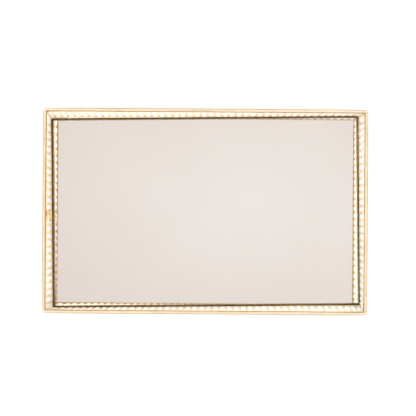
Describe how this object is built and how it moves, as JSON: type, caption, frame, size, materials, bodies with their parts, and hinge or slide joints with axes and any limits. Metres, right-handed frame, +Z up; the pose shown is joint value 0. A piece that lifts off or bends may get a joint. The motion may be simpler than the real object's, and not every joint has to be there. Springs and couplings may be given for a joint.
{
  "type": "vanity tray",
  "caption": "Rectangular vanity tray: a mirror floor inside an upright ribbed metal gallery with a round wire rim, standing on small soft pads.",
  "frame": {"origin": "on the table under the middle of the tray", "axes": "+X along the long side, +Y along the short side, +Z up from the table towards the rim"},
  "size_m": [0.3444, 0.2208, 0.0268],
  "materials": {
    "gold_wire": "polished gold plate on round wire",
    "gold_gallery": "bright gold plate on rolled ribs",
    "solder_patch": "lumpy gold-toned solder",
    "pan_steel": "satin bronze lacquer on sheet steel",
    "foam_tape": "white foam mounting tape",
    "silvering": "silver film with a slightly warm tone",
    "mirror_plate": "clear float glass with ground edges",
    "pad_rubber": "soft matte translucent pad"
  },
  "bodies": {
    "root": {"rim_wire": "gold_wire", "base_wire": "gold_wire", "gallery_strip": "gold_gallery", "seam_patch_inner": "solder_patch", "seam_patch_outer": "solder_patch", "base_pan": "pan_steel", "mirror_tape_1": "foam_tape", "mirror_tape_2": "foam_tape", "mirror_tape_3": "foam_tape", "mirror_tape_4": "foam_tape", "mirror_silvering": "silvering", "mirror_glass": "mirror_plate", "foot_pad_front_left": "pad_rubber", "foot_pad_front_right": "pad_rubber", "foot_pad_back_left": "pad_rubber", "foot_pad_back_right": "pad_rubber"}
  },
  "joints": []
}
